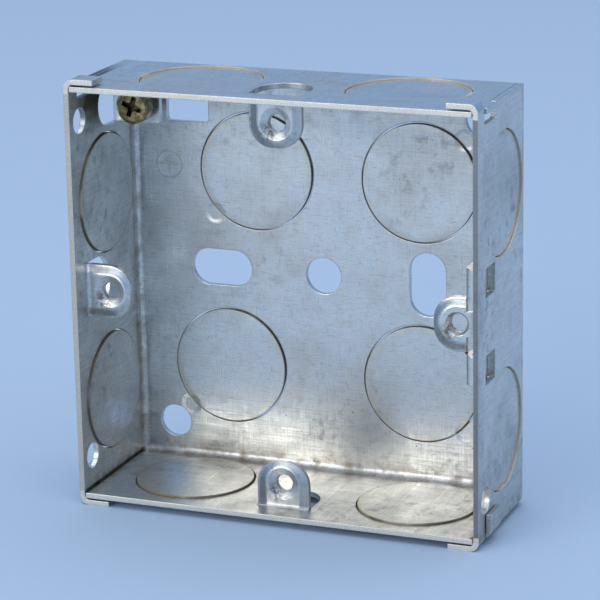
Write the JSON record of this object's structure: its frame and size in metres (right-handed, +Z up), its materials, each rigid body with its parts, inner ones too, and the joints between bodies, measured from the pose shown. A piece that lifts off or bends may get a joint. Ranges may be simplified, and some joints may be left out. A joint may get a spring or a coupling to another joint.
{
  "type": "metal back box",
  "caption": "Shallow square back box of folded galvanised steel with knockouts, fixing lugs, a sliding lug and a brass earth screw.",
  "frame": {"origin": "middle of the underside, at the lower corner tabs", "axes": "+X to the right-hand wall with the sliding lug, -Y out of the open front, +Z up"},
  "size_m": [0.072, 0.025, 0.0724],
  "materials": {
    "galvanised_sheet": "bright zinc with fine rolling lines",
    "galvanised_lug": "bright zinc, satin",
    "brass": "aged, satin"
  },
  "bodies": {
    "box": {"box_body": "galvanised_sheet", "earth_screw": "brass"},
    "lug_slider": {"sliding_lug": "galvanised_lug"}
  },
  "joints": [
    {"name": "lug_slide", "type": "slide", "parent": "box", "child": "lug_slider", "axis": [0, 0, 1], "range_m": [-0.0024, 0.0024]}
  ]
}
